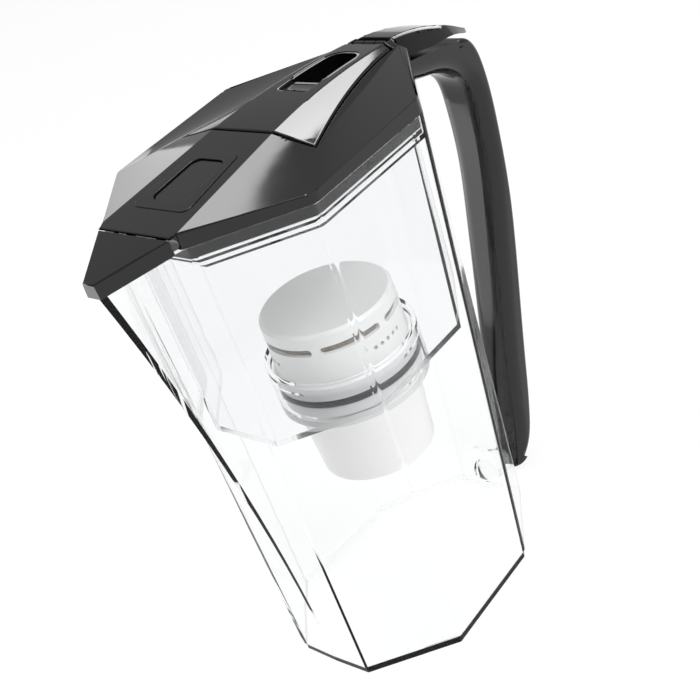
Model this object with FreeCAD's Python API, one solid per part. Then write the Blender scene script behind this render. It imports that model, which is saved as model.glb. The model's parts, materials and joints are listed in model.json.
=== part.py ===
import FreeCAD, Part
import math
import os
from FreeCAD import Vector

# Water filter pitcher. Millimetres, +Z up, spout towards -X, handle towards +X, base on z = 0.

# Jug: plan corners at the base and at the rim (x, half width), walls and foot
RIM_Z = 241.4
BASE_FRONT_X = -48.3
BASE_FRONT_HALF = 20.5
BASE_WIDE_X = -13.2
BASE_WIDE_HALF = 52.3
BASE_BACK_X = 47.5
BASE_BACK_HALF = 48.8
BASE_REAR_X = 86.0
BASE_REAR_HALF = 20.0
RIM_FRONT_X = -50.7
RIM_FRONT_HALF = 23.2
RIM_WIDE_X = -10.4
RIM_WIDE_HALF = 60.0
RIM_BACK_X = 61.2
RIM_BACK_HALF = 58.3
RIM_REAR_X = 104.0
RIM_REAR_HALF = 19.0
JUG_WALL = 2.4
JUG_FLOOR = 3.0
FOOT_HEIGHT = 4.5
FOOT_INSET = 1.0
CORNER_RADIUS = 4.0
INNER_RADIUS = 1.6

# How far a cutting tool runs past the face that it cuts, and how near an edge lies to its line
OVERRUN = 1.0
LINE_TOLERANCE = 0.05

# Spout prow of the jug
SPOUT_REACH = 30.0
SPOUT_DROP = 5.6
PROW_BASE = 0.6
PROW_POWER = 1.85
PROW_STEPS = (0.0, 0.3, 0.48, 0.62, 0.74, 0.84, 0.92, 1.0)

# Ledge that carries the funnel, and running clearances
LEDGE_DEPTH = 8.6
LEDGE_THICKNESS = 2.4
LEDGE_WIDTH = 3.2
LEDGE_FRONT_GAP = 6.0
REST_GAP = 0.1
SIDE_GAP = 0.5

# Funnel
FUNNEL_FLOOR_Z = 137.0
FUNNEL_INSET = 6.2
FUNNEL_WALL = 1.8
FUNNEL_FLANGE = 2.0
SOCKET_X = 24.0
SOCKET_RADIUS = 34.0
SOCKET_WALL = 2.0
SOCKET_BELOW = 18.0
SOCKET_ABOVE = 6.0
SOCKET_LIP = 2.8
SOCKET_LIP_HEIGHT = 3.6

# Cartridge
CART_BODY_BELOW = 42.0
CART_COLLAR_HEIGHT = 12.0
CART_COLLAR_GAP = 1.0
CART_WALL = 1.8
CART_BOTTOM_RADIUS = 27.4
CART_NECK_RADIUS = 30.4
CART_CAP_HEIGHT = 31.0
CART_CAP_TOP_RADIUS = 31.2
CART_CAP_FOOT_RADIUS = 33.0
CAP_FOOT_HEIGHT = 4.0
CAP_STEP_HEIGHT = 1.0
CAP_LEAN = 0.6
CAP_EDGE = 1.5
RING_SECTION = 1.8
RING_FIT = 0.05
RING_RISE = 7.2
SLOT_COUNT = 6
SLOT_ANGLE = 46.0
SLOT_HEIGHT = 3.6
SLOT_DROP = 8.5
VENT_GROUPS = 3
VENT_COUNT = 5
VENT_PITCH = 7.0
VENT_RADIUS = 1.0
VENT_DROP = 17.0
SCREEN_WALL = 0.6
MEDIA_GAP = 0.2
MEDIA_DROP = 2.7
GRID_RADIUS = 13.0
GRID_SLOT = 1.6
GRID_PITCH = 3.6
GRID_RIM = 1.9

# Lid: band, ridge and wings
BAND_HEIGHT = 7.2
WIDE_DROP = 2.6
LID_CORNER = 6.0
LID_WALL = 2.2
RIDGE_PEAK_X = 14.9
RIDGE_PEAK_HALF = 18.3
RIDGE_PEAK_RISE = 6.5
RIDGE_REAR_HALF = 10.8
RIDGE_REAR_RISE = 4.0
RIDGE_ARCH = 2.4
WING_RISE = 1.3
SKIRT_GAP = 0.6
SKIRT_WALL = 1.6
SKIRT_SHELF = 2.0
NUB_RADIUS = 1.7
NUB_PROUD = 0.3
NUB_DROP = 4.0
NUB_FRONT_SHARE = 0.62
NUB_SIDE_SHARE = 0.5

# Fill hatch in the lid
HATCH_FRONT_X = 15.6
HATCH_FRONT_HALF = 40.5
HATCH_REAR_MARGIN = 4.6
HATCH_REAR_HALF = 15.0
HATCH_BOW = 3.0
HATCH_SEAM = 0.7
HATCH_REAR_SEAM = 1.4
HATCH_LEDGE = 3.0
HATCH_LEDGE_THICKNESS = 2.0
HATCH_LEDGE_GAP = 0.4
KNUCKLE_RADIUS = 1.7
KNUCKLE_DEPTH = 1.7
KNUCKLE_BACK = 2.6
KNUCKLE_HALF = 9.4
KNUCKLE_MIDDLE = 6.4
KNUCKLE_GAP = 0.4
KNUCKLE_ARM = 1.1
KNUCKLE_REACH = 3.0
PIN_RADIUS = 0.8
PIN_FIT = 0.05

# Thumb recess in the hatch
CUP_FRONT_X = 57.0
CUP_LENGTH = 31.5
CUP_FRONT_HALF = 10.4
CUP_REAR_HALF = 9.4
CUP_DEPTH = 13.0
CUP_WALL = 1.3
CUP_FRONT_RADIUS = 4.0
CUP_REAR_RADIUS = 7.5
CUP_SUNK = 0.3
SCOOP_DEPTH = 1.4
SCOOP_RADIUS = 30.0

# Spout flap
FLAP_GAP = 0.4
FLAP_BACK_GAP = 3.3
FLAP_SIDE_INSET = 1.2
FLAP_TIP_HALF = 3.5
FLAP_HEIGHT = 6.8
FLAP_WALL = 1.8
FLAP_OVERHANG = 0.2
FLAP_FLARE = 0.6
FLAP_AXIS_IN = 2.0
FLAP_AXIS_RISE = 3.1
LUG_RADIUS = 1.6
LUG_INNER = 7.0
LUG_WIDTH = 4.5
EAR_WIDTH = 2.5
EAR_GAP = 0.4
BROW_REACH = 3.0
BROW_DEPTH = 4.5

# Indicator on the front of the ridge
BEZEL_START = 12.3
BEZEL_LENGTH = 39.2
BEZEL_FRONT_HALF = 17.3
BEZEL_REAR_HALF = 12.7
BEZEL_PROUD = 0.35
BEZEL_RADIUS = 4.0
WINDOW_MARGIN = 5.4
WINDOW_FRONT_HALF = 10.8
WINDOW_REAR_HALF = 9.5
WINDOW_RADIUS = 4.5
BUTTON_GAP = 0.35
BUTTON_SUNK = 0.75
BUTTON_FLANGE = 1.2
BUTTON_FLANGE_THICKNESS = 0.8
BUTTON_TRAVEL = 1.2
TRAY_WALL = 1.2

# Tail of the lid over the handle
TAIL_LENGTH = 60.0
TAIL_FOOT_HALF = 14.4
TAIL_GAP = 2.4
TAIL_TIP_HALF = 1.6
TAIL_TIP_THICKNESS = 2.2

# Handle
HANDLE_REACH = 58.5
HANDLE_TOP_DROP = 1.2
HANDLE_TIP_Z = 2.5
HANDLE_HALF = 14.0
HANDLE_TIP_HALF = 10.0
STRIP_THICKNESS = 4.0
STRIP_HALF = 12.8
GRIP_EDGE = 8.0
STRIP_EDGE = 2.6
DOME_RADIUS = 12.5
DOME_OUT = 4.0
DOME_Z = 17.0
LUG_BALL_RADIUS = 7.8
LUG_BALL_Z = 12.5
LUG_BALL_OUT = 5.0
LUG_STUB_RADIUS = 4.2
LUG_STUB_LENGTH = 15.0
TONGUE_LENGTH = 14.0
TONGUE_HALF = 9.0
TONGUE_THICKNESS = 3.6
TONGUE_DROP = 2.6
SCREW_SPREAD = 4.6
SCREW_IN = 8.5
SCREW_HEAD_RADIUS = 2.6
SCREW_HEAD = 1.8
SCREW_SHANK_RADIUS = 1.4
SCREW_BED = 2.0
SCREW_ACCESS = 0.3

# Height places that several pieces share
LEDGE_Z = RIM_Z - LEDGE_DEPTH
FLANGE_Z = LEDGE_Z + REST_GAP
FUNNEL_TOP_Z = FLANGE_Z + FUNNEL_FLANGE
LID_Z = RIM_Z + REST_GAP
BAND_Z = LID_Z + BAND_HEIGHT
PEAK_Z = BAND_Z + RIDGE_PEAK_RISE
REAR_Z = BAND_Z + RIDGE_REAR_RISE
WING_Z = BAND_Z + WING_RISE
HATCH_REAR_X = RIM_REAR_X - HATCH_REAR_MARGIN
LID_TOP_Z = PEAK_Z + 2 * RIDGE_ARCH


def mix(a, b, t):
    return a + (b - a) * t


def section(z, inset=0.0, prow=False):
    """Plan corners of the jug at height z, moved inwards by inset."""
    t = z / RIM_Z
    front = mix(BASE_FRONT_X, RIM_FRONT_X, t)
    half = [
        (front, mix(BASE_FRONT_HALF, RIM_FRONT_HALF, t)),
        (mix(BASE_WIDE_X, RIM_WIDE_X, t), mix(BASE_WIDE_HALF, RIM_WIDE_HALF, t)),
        (mix(BASE_BACK_X, RIM_BACK_X, t), mix(BASE_BACK_HALF, RIM_BACK_HALF, t)),
        (mix(BASE_REAR_X, RIM_REAR_X, t), mix(BASE_REAR_HALF, RIM_REAR_HALF, t)),
    ]
    points = [(x, -w) for x, w in half] + [(x, w) for x, w in reversed(half)]
    if prow:
        points.insert(0, (front - PROW_BASE - SPOUT_REACH * t ** PROW_POWER, 0.0))
    return inset_polygon(points, inset)


def inset_polygon(points, distance):
    """Move each side of a counter-clockwise polygon inwards."""
    lines = []
    for i, (x0, y0) in enumerate(points):
        x1, y1 = points[(i + 1) % len(points)]
        length = math.hypot(x1 - x0, y1 - y0)
        nx, ny = (y0 - y1) / length, (x1 - x0) / length
        lines.append((nx, ny, nx * x0 + ny * y0 + distance))
    result = []
    for i, (a2, b2, c2) in enumerate(lines):
        a1, b1, c1 = lines[i - 1]
        det = a1 * b2 - a2 * b1
        result.append(((c1 * b2 - c2 * b1) / det, (a1 * c2 - a2 * c1) / det))
    return result


def wire_at(points, z):
    corners = [Vector(x, y, z) for x, y in points]
    return Part.makePolygon(corners + corners[:1])


def prism(points, low, high):
    return Part.Face(wire_at(points, low)).extrude(Vector(0, 0, high - low))


def loft(wires):
    return Part.makeLoft(wires, True, True)


def box(x0, x1, y0, y1, z0, z1):
    return Part.makeBox(x1 - x0, y1 - y0, z1 - z0, Vector(x0, y0, z0))


def rod_y(x, z, radius, y0, y1):
    return Part.makeCylinder(radius, y1 - y0, Vector(x, y0, z), Vector(0, 1, 0))


def fuse(first, *others):
    return first.multiFuse(list(others)).removeSplitter()


def cut(first, *others):
    return first.cut(list(others))


def rounded(points, radii, low, high):
    """Prism with rounded upright edges; radii follow the points."""
    solid = prism(points, low, high)
    for (x, y), radius in zip(points, radii):
        edges = [e for e in solid.Edges if is_upright_at(e, x, y)]
        solid = solid.makeFillet(radius, edges)
    return solid


def is_upright_at(edge, x, y):
    return all(abs(v.Point.x - x) < 1e-4 and abs(v.Point.y - y) < 1e-4 for v in edge.Vertexes)


def solid_from(faces):
    shell = Part.makeShell(faces)
    shell.sewShape()
    solid = Part.makeSolid(shell)
    if solid.Volume < 0:
        solid.reverse()
    return solid


def flat(*points):
    corners = [Vector(*p) for p in points]
    return Part.Face(Part.makePolygon(corners + corners[:1]))


def twisted(a, b, c, d):
    """Ruled face between the edges a-b and d-c."""
    first = Part.makeLine(Vector(*a), Vector(*b))
    second = Part.makeLine(Vector(*d), Vector(*c))
    return Part.makeRuledSurface(first, second)


def wall_x(z):
    """Outer face of the jug's rear wall."""
    return mix(BASE_REAR_X, RIM_REAR_X, z / RIM_Z)


def corner_arc(points, i, radius, z):
    """Start, middle and end of the arc that rounds corner i of a plan outline."""
    here = Vector(points[i][0], points[i][1], z)
    before = Vector(points[i - 1][0], points[i - 1][1], z) - here
    after = Vector(points[(i + 1) % len(points)][0], points[(i + 1) % len(points)][1], z) - here
    before.normalize()
    after.normalize()
    half = 0.5 * before.getAngle(after)
    middle = before + after
    middle.normalize()
    reach = radius / math.tan(half)
    return here + before * reach, here + middle * (radius / math.sin(half) - radius), here + after * reach


def jug_form(low, high, inset, radius):
    """Closed form between two heights; prow and front corners are curves, other corners are rounded."""
    heights = [mix(low, high, t) for t in PROW_STEPS]
    rows = [section(z, inset, True) for z in heights]
    count = len(rows[0])
    faces, rails, bottom, top = [], [], [], []
    for i in range(count):
        if i in (0, 1, count - 1):
            curve = Part.BSplineCurve()
            curve.interpolate([Vector(row[i][0], row[i][1], z) for row, z in zip(rows, heights)])
            rails.append(curve.toShape())
            continue
        ends = [Part.Arc(*corner_arc(rows[k], i, radius, heights[k])).toShape() for k in (0, -1)]
        starts = [corner_arc(rows[k], i, radius, heights[k]) for k in (0, -1)]
        rails.append(Part.makeLine(starts[0][0], starts[1][0]))
        rails.append((Part.makeLine(starts[0][2], starts[1][2]), ends))
    for i, rail in enumerate(rails):
        following = rails[(i + 1) % len(rails)]
        this = rail[0] if isinstance(rail, tuple) else rail
        if isinstance(following, tuple):
            lower, upper = following[1]
            faces.append(Part.makeRuledSurface(lower, upper))
        else:
            lower = Part.makeLine(low_end(this), low_end(following))
            upper = Part.makeLine(high_end(this), high_end(following))
            faces.append(Part.makeRuledSurface(this, following))
        bottom.append(lower)
        top.append(upper)
    faces.append(Part.Face(Part.Wire(bottom)))
    faces.append(Part.Face(Part.Wire(top)))
    return solid_from(faces)


def low_end(edge):
    return min((v.Point for v in edge.Vertexes), key=lambda p: p.z)


def high_end(edge):
    return max((v.Point for v in edge.Vertexes), key=lambda p: p.z)


def make_jug():
    outer = jug_form(FOOT_HEIGHT, RIM_Z, 0.0, CORNER_RADIUS)
    foot = prism(section(0.0, FOOT_INSET, True), 0.0, FOOT_HEIGHT + JUG_FLOOR)
    inner = jug_form(JUG_FLOOR, RIM_Z + OVERRUN, JUG_WALL, INNER_RADIUS)
    jug = outer.fuse(foot).cut(inner)

    ring = cut(
        prism(section(LEDGE_Z, 0.5 * JUG_WALL), LEDGE_Z - LEDGE_THICKNESS, LEDGE_Z),
        prism(section(LEDGE_Z, JUG_WALL + LEDGE_WIDTH),
              LEDGE_Z - LEDGE_THICKNESS - OVERRUN, LEDGE_Z + OVERRUN),
        box(RIM_FRONT_X - SPOUT_REACH, RIM_FRONT_X + LEDGE_FRONT_GAP,
            -RIM_WIDE_HALF, RIM_WIDE_HALF, 0, RIM_Z),
    )
    dome = make_dome().common(outer)
    jug = jug.multiFuse([ring, dome, make_lug().cut(inner), make_tongue().cut(inner)])

    slope = SPOUT_DROP / SPOUT_REACH
    far = 2 * SPOUT_REACH
    side = [(RIM_FRONT_X, RIM_Z), (RIM_FRONT_X - far, RIM_Z - slope * far),
            (RIM_FRONT_X - far, RIM_Z + OVERRUN), (RIM_FRONT_X, RIM_Z + OVERRUN)]
    corners = [Vector(x, -RIM_WIDE_HALF, z) for x, z in side]
    wedge = Part.Face(Part.makePolygon(corners + corners[:1])).extrude(Vector(0, 2 * RIM_WIDE_HALF, 0))
    holes = screw_rods(SCREW_SHANK_RADIUS, SCREW_LOW_Z, SCREW_TOP_Z)
    return jug.cut([wedge] + holes).removeSplitter()


def make_funnel():
    def walls(low, inset, high):
        return loft([wire_at(section(z, inset), z) for z in (low, high)])

    outer = walls(FUNNEL_FLOOR_Z, FUNNEL_INSET, FUNNEL_TOP_Z)
    inner = walls(FUNNEL_FLOOR_Z + FUNNEL_WALL, FUNNEL_INSET + FUNNEL_WALL, FUNNEL_TOP_Z + OVERRUN)
    flange = prism(section(FLANGE_Z, JUG_WALL + SIDE_GAP), FLANGE_Z, FUNNEL_TOP_Z)
    centre = Vector(SOCKET_X, 0, FUNNEL_FLOOR_Z - SOCKET_BELOW)
    height = SOCKET_BELOW + SOCKET_ABOVE
    tube = Part.makeCylinder(SOCKET_RADIUS + SOCKET_WALL, height, centre)
    bore = Part.makeCylinder(SOCKET_RADIUS, height, centre + Vector(0, 0, SOCKET_LIP_HEIGHT))
    mouth = Part.makeCylinder(SOCKET_RADIUS - SOCKET_LIP, height + OVERRUN, centre - Vector(0, 0, OVERRUN))
    return outer.multiFuse([flange]).cut(inner).fuse(tube).cut([bore, mouth]).removeSplitter()


SHOULDER_Z = FUNNEL_FLOOR_Z - SOCKET_BELOW + SOCKET_LIP_HEIGHT + REST_GAP
COLLAR_TOP_Z = SHOULDER_Z + CART_COLLAR_HEIGHT
CART_BOTTOM_Z = SHOULDER_Z - CART_BODY_BELOW
CAP_TOP_Z = COLLAR_TOP_Z + CART_CAP_HEIGHT
RING_Z = SHOULDER_Z + RING_RISE
RING_MAJOR = SOCKET_RADIUS - RING_FIT - RING_SECTION
COLLAR_RADIUS = SOCKET_RADIUS - CART_COLLAR_GAP


def turned(profile):
    """Solid of revolution about the cartridge axis from (radius, z) points."""
    corners = [Vector(SOCKET_X + r, 0, z) for r, z in profile]
    face = Part.Face(Part.makePolygon(corners + corners[:1]))
    return face.revolve(Vector(SOCKET_X, 0, 0), Vector(0, 0, 1), 360)


def make_ring():
    ring = Part.makeTorus(RING_MAJOR, RING_SECTION)
    ring.translate(Vector(SOCKET_X, 0, RING_Z))
    return ring


def make_cart_body():
    groove = RING_MAJOR - RING_SECTION
    body = turned([
        (0, CART_BOTTOM_Z), (CART_BOTTOM_RADIUS, CART_BOTTOM_Z), (CART_NECK_RADIUS, SHOULDER_Z),
        (COLLAR_RADIUS, SHOULDER_Z), (COLLAR_RADIUS, RING_Z - RING_SECTION), (groove, RING_Z - RING_SECTION),
        (groove, RING_Z + RING_SECTION), (COLLAR_RADIUS, RING_Z + RING_SECTION),
        (COLLAR_RADIUS, COLLAR_TOP_Z),
        (0, COLLAR_TOP_Z),
    ])
    inside = turned([
        (0, CART_BOTTOM_Z + CART_WALL), (CART_BOTTOM_RADIUS - CART_WALL, CART_BOTTOM_Z + CART_WALL),
        (CART_NECK_RADIUS - CART_WALL, SHOULDER_Z), (CART_NECK_RADIUS - CART_WALL, COLLAR_TOP_Z + OVERRUN),
        (0, COLLAR_TOP_Z + OVERRUN),
    ])
    outlet = Part.makeCylinder(GRID_RADIUS, 4 * CART_WALL, Vector(SOCKET_X, 0, CART_BOTTOM_Z - CART_WALL))
    return cut(body, inside, outlet)


def make_grid():
    disc = Part.makeCylinder(GRID_RADIUS, CART_WALL, Vector(SOCKET_X, 0, CART_BOTTOM_Z))
    count = int((GRID_RADIUS - GRID_SLOT) / GRID_PITCH)
    tools = []
    for i in range(-count, count + 1):
        x = i * GRID_PITCH
        reach = math.sqrt(GRID_RADIUS ** 2 - x ** 2) - GRID_RIM
        tools.append(box(SOCKET_X + x - 0.5 * GRID_SLOT, SOCKET_X + x + 0.5 * GRID_SLOT, -reach, reach,
                         CART_BOTTOM_Z - OVERRUN, CART_BOTTOM_Z + CART_WALL + OVERRUN))
    return cut(disc, *tools)


def slot_tool(angle):
    """Long slot with rounded ends through the cap's side, about the given angle."""
    z = CAP_TOP_Z - SLOT_DROP
    reach = CART_CAP_FOOT_RADIUS + OVERRUN
    inner = CART_CAP_TOP_RADIUS - 3 * CART_WALL
    corners = [Vector(inner, 0, z - 0.5 * SLOT_HEIGHT), Vector(reach, 0, z - 0.5 * SLOT_HEIGHT),
               Vector(reach, 0, z + 0.5 * SLOT_HEIGHT), Vector(inner, 0, z + 0.5 * SLOT_HEIGHT)]
    face = Part.Face(Part.makePolygon(corners + corners[:1]))
    body = face.revolve(Vector(0, 0, 0), Vector(0, 0, 1), SLOT_ANGLE)
    ends = []
    for turn in (0.0, SLOT_ANGLE):
        end = Part.makeCylinder(0.5 * SLOT_HEIGHT, reach - inner, Vector(inner, 0, z), Vector(1, 0, 0))
        end.rotate(Vector(0, 0, 0), Vector(0, 0, 1), turn)
        ends.append(end)
    tool = body.multiFuse(ends)
    tool.rotate(Vector(0, 0, 0), Vector(0, 0, 1), angle - 0.5 * SLOT_ANGLE)
    tool.translate(Vector(SOCKET_X, 0, 0))
    return tool


def make_cap():
    foot_z = COLLAR_TOP_Z + CAP_FOOT_HEIGHT
    shell = turned([
        (0, COLLAR_TOP_Z), (CART_CAP_FOOT_RADIUS, COLLAR_TOP_Z), (CART_CAP_FOOT_RADIUS, foot_z),
        (CART_CAP_TOP_RADIUS + CAP_LEAN, foot_z + CAP_STEP_HEIGHT),
        (CART_CAP_TOP_RADIUS, CAP_TOP_Z - CAP_EDGE),
        (CART_CAP_TOP_RADIUS - CAP_EDGE, CAP_TOP_Z), (0, CAP_TOP_Z),
    ])
    inside = turned([
        (0, COLLAR_TOP_Z - OVERRUN), (CART_CAP_TOP_RADIUS - CART_WALL, COLLAR_TOP_Z - OVERRUN),
        (CART_CAP_TOP_RADIUS - CART_WALL, CAP_TOP_Z - CART_WALL), (0, CAP_TOP_Z - CART_WALL),
    ])
    tools = [inside]
    for i in range(SLOT_COUNT):
        tools.append(slot_tool(i * 360.0 / SLOT_COUNT))
    for group in range(VENT_GROUPS):
        for i in range(VENT_COUNT):
            turn = -90.0 + group * 360.0 / VENT_GROUPS + (i - 0.5 * (VENT_COUNT - 1)) * VENT_PITCH
            out = Vector(math.cos(math.radians(turn)), math.sin(math.radians(turn)), 0)
            start = Vector(SOCKET_X, 0, CAP_TOP_Z - VENT_DROP) + out * (CART_CAP_TOP_RADIUS - 3 * CART_WALL)
            tools.append(Part.makeCylinder(VENT_RADIUS, 8 * CART_WALL, start, out))
    return cut(shell, *tools)


def make_screen():
    radius = CART_CAP_TOP_RADIUS - CART_WALL
    low = COLLAR_TOP_Z
    height = CART_CAP_HEIGHT - CART_WALL
    tube = Part.makeCylinder(radius, height, Vector(SOCKET_X, 0, low))
    hole = Part.makeCylinder(radius - SCREEN_WALL, height + 2 * OVERRUN, Vector(SOCKET_X, 0, low - OVERRUN))
    return cut(tube, hole)


def make_media():
    top = CAP_TOP_Z - CART_WALL - MEDIA_DROP
    neck = min(CART_NECK_RADIUS, CART_CAP_TOP_RADIUS - SCREEN_WALL) - CART_WALL - MEDIA_GAP
    return turned([
        (0, CART_BOTTOM_Z + CART_WALL),
        (CART_BOTTOM_RADIUS - CART_WALL - MEDIA_GAP, CART_BOTTOM_Z + CART_WALL),
        (neck, SHOULDER_Z), (neck, top), (0, top),
    ])


def ridge_edge(peak, end):
    """Arched edge of the ridge from its peak to its rear end."""
    first, last = Vector(*peak), Vector(*end)
    middle = (first + last) * 0.5 + Vector(0, 0, RIDGE_ARCH)
    return Part.Arc(first, middle, last).toShape()


def lid_solid(inset, drop, bottom):
    """Faceted body under the lid's skin; inset and drop give the inner skin."""
    plan = section(RIM_Z, inset)
    front, wide, back, rear = plan[:4]
    band = BAND_Z - drop
    wing = WING_Z - drop
    rear_wing = HATCH_REAR_HALF
    right = {
        "b1": (front[0], front[1], bottom), "b2": (wide[0], wide[1], bottom),
        "b3": (back[0], back[1], bottom), "b4": (rear[0], rear[1], bottom),
        "t1": (front[0], front[1], band), "t2": (wide[0], wide[1], band - WIDE_DROP),
        "t3": (back[0], back[1], band), "t4": (rear[0], rear[1], band),
        "peak": (RIDGE_PEAK_X, -RIDGE_PEAK_HALF, PEAK_Z - drop),
        "end": (rear[0], -RIDGE_REAR_HALF, REAR_Z - drop),
        "k": (HATCH_FRONT_X, -HATCH_FRONT_HALF, wing),
        "g": (rear[0], -rear_wing, wing),
    }
    left = {name: (x, -y, z) for name, (x, y, z) in right.items()}
    faces = []
    for p in (right, left):
        faces += [
            flat(p["b1"], p["b2"], p["t2"], p["t1"]),
            flat(p["b2"], p["b3"], p["t3"], p["t2"]),
            flat(p["b3"], p["b4"], p["t4"], p["t3"]),
            twisted(p["t1"], p["peak"], p["k"], p["t2"]),
            twisted(p["t2"], p["k"], p["g"], p["t3"]),
            flat(p["t3"], p["g"], p["t4"]),
            Part.makeRuledSurface(ridge_edge(p["peak"], p["end"]),
                                  Part.makeLine(Vector(*p["k"]), Vector(*p["g"]))),
        ]
    r, m = right, left
    faces += [
        flat(r["b1"], m["b1"], m["t1"], r["t1"]),
        flat(r["t1"], m["t1"], m["peak"], r["peak"]),
        Part.makeRuledSurface(ridge_edge(r["peak"], r["end"]), ridge_edge(m["peak"], m["end"])),
        flat(r["b4"], m["b4"], m["t4"], m["g"], m["end"], r["end"], r["g"], r["t4"]),
        flat(r["b1"], r["b2"], r["b3"], r["b4"], m["b4"], m["b3"], m["b2"], m["b1"]),
    ]
    return solid_from(faces)


def soft_plan():
    """Upright form of the lid's plan with its wide and back corners rounded."""
    plan = section(RIM_Z, 0.0)
    form = prism(plan, LID_Z, LID_TOP_Z)
    soft = [Vector(x, y, LID_Z) for x, y in plan[1:3] + plan[-3:-1]]

    def is_soft(edge):
        low = min((v.Point for v in edge.Vertexes), key=lambda p: p.z)
        return edge.BoundBox.ZLength > OVERRUN and any(low.distanceToPoint(p) < 1e-6 for p in soft)

    return form.makeFillet(LID_CORNER, [edge for edge in form.Edges if is_soft(edge)])


LID_OUTER = lid_solid(0.0, 0.0, LID_Z).common(soft_plan())
LID_INNER = lid_solid(LID_WALL, LID_WALL, LID_Z - OVERRUN)
HATCH_PLAN = [(HATCH_FRONT_X, -HATCH_FRONT_HALF), (HATCH_REAR_X, -HATCH_REAR_HALF),
              (HATCH_REAR_X, HATCH_REAR_HALF), (HATCH_FRONT_X, HATCH_FRONT_HALF)]


def hatch_prism(inset, low, high):
    """Upright form with the hatch's plan, moved inwards by inset; its long sides bow towards the ridge."""
    corners = [Vector(x, y, low) for x, y in inset_polygon(HATCH_PLAN, inset)]
    edges = []
    for first, last in zip(corners, corners[1:] + corners[:1]):
        middle = (first + last) * 0.5
        if abs(middle.y) < 1e-6:
            edges.append(Part.makeLine(first, last))
        else:
            bowed = middle - Vector(0, math.copysign(HATCH_BOW, middle.y), 0)
            edges.append(Part.Arc(first, bowed, last).toShape())
    return Part.Face(Part.Wire(edges)).extrude(Vector(0, 0, high - low))


HINGE_X = HATCH_REAR_X + KNUCKLE_BACK
HINGE_Z = REAR_Z - KNUCKLE_DEPTH
FLAP_BACK_X = RIM_FRONT_X - FLAP_BACK_GAP
FLAP_AXIS_X = FLAP_BACK_X - FLAP_AXIS_IN
RIDGE_ANGLE = math.degrees(math.atan2(RIDGE_PEAK_RISE, RIDGE_PEAK_X - RIM_FRONT_X))


def spout_z(x):
    """Height of the spout's lip at x."""
    return RIM_Z - SPOUT_DROP * (RIM_FRONT_X - x) / SPOUT_REACH


FLAP_AXIS_Z = spout_z(FLAP_AXIS_X) + FLAP_AXIS_RISE


def on_ridge(shape):
    """Place a piece drawn flat, with x from the ridge's front edge and z from its surface."""
    shape.rotate(Vector(0, 0, 0), Vector(0, 1, 0), -RIDGE_ANGLE)
    shape.translate(Vector(RIM_FRONT_X, 0, BAND_Z))
    return shape


def trapezium(start, length, front_half, rear_half):
    return [(start, -front_half), (start + length, -rear_half),
            (start + length, rear_half), (start, front_half)]


BEZEL_PLAN = trapezium(BEZEL_START, BEZEL_LENGTH, BEZEL_FRONT_HALF, BEZEL_REAR_HALF)
WINDOW_PLAN = trapezium(BEZEL_START + WINDOW_MARGIN, BEZEL_LENGTH - 2 * WINDOW_MARGIN,
                        WINDOW_FRONT_HALF, WINDOW_REAR_HALF)


def bezel_block(low, high):
    return rounded(BEZEL_PLAN, [BEZEL_RADIUS] * 4, low, high)


def make_bezel():
    plate = bezel_block(-LID_WALL, BEZEL_PROUD)
    window = rounded(WINDOW_PLAN, [WINDOW_RADIUS] * 4, -LID_WALL - OVERRUN, BEZEL_PROUD + OVERRUN)
    return on_ridge(cut(plate, window))


BUTTON_TOP = BEZEL_PROUD - BUTTON_SUNK
BUTTON_LOW = -LID_WALL - REST_GAP
BUTTON_FOOT = BUTTON_LOW - BUTTON_FLANGE_THICKNESS


def make_button():
    pad = inset_polygon(WINDOW_PLAN, BUTTON_GAP)
    flange = inset_polygon(WINDOW_PLAN, -BUTTON_FLANGE)
    top = rounded(pad, [WINDOW_RADIUS - BUTTON_GAP] * 4, BUTTON_LOW, BUTTON_TOP)
    foot = prism(flange, BUTTON_FOOT, BUTTON_LOW)
    return on_ridge(fuse(top, foot))


def make_tray():
    plan = inset_polygon(WINDOW_PLAN, -BUTTON_FLANGE - 2 * BUTTON_GAP)
    floor = BUTTON_FOOT - BUTTON_TRAVEL - BUTTON_GAP
    outer = prism(inset_polygon(plan, -TRAY_WALL), floor - TRAY_WALL, -LID_WALL)
    return on_ridge(cut(outer, prism(plan, floor, 0.0)))


def skirt_ring(gap, thickness, low, high):
    levels = (low, high)
    outer = loft([wire_at(section(z, JUG_WALL + gap), z) for z in levels])
    inner = loft([wire_at(section(z, JUG_WALL + gap + thickness), z)
                  for z in (low - OVERRUN, high + OVERRUN)])
    return cut(outer, inner)


def nub_places():
    """Middle of the front-side and long-side walls, with their outward directions."""
    z = RIM_Z - NUB_DROP
    plan = section(z, JUG_WALL + SKIRT_GAP)
    places = []
    for first, share in ((0, NUB_FRONT_SHARE), (1, NUB_SIDE_SHARE)):
        (x0, y0), (x1, y1) = plan[first], plan[first + 1]
        length = math.hypot(x1 - x0, y1 - y0)
        for side in (1, -1):
            out = Vector((y1 - y0) / length, side * (x0 - x1) / length, 0)
            places.append((Vector(mix(x0, x1, share), side * mix(y0, y1, share), z), out))
    return places


def make_nubs():
    nubs = []
    for place, out in nub_places():
        start = place - out * (0.5 * SKIRT_WALL)
        nubs.append(Part.makeCylinder(NUB_RADIUS, 0.5 * SKIRT_WALL + NUB_PROUD, start, out))
    return Part.makeCompound(nubs)


def lug_spans():
    return ((LUG_INNER, LUG_INNER + LUG_WIDTH), (-LUG_INNER - LUG_WIDTH, -LUG_INNER))


def ear_spans():
    inner = LUG_INNER + LUG_WIDTH + EAR_GAP
    return ((inner, inner + EAR_WIDTH), (-inner - EAR_WIDTH, -inner))


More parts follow.
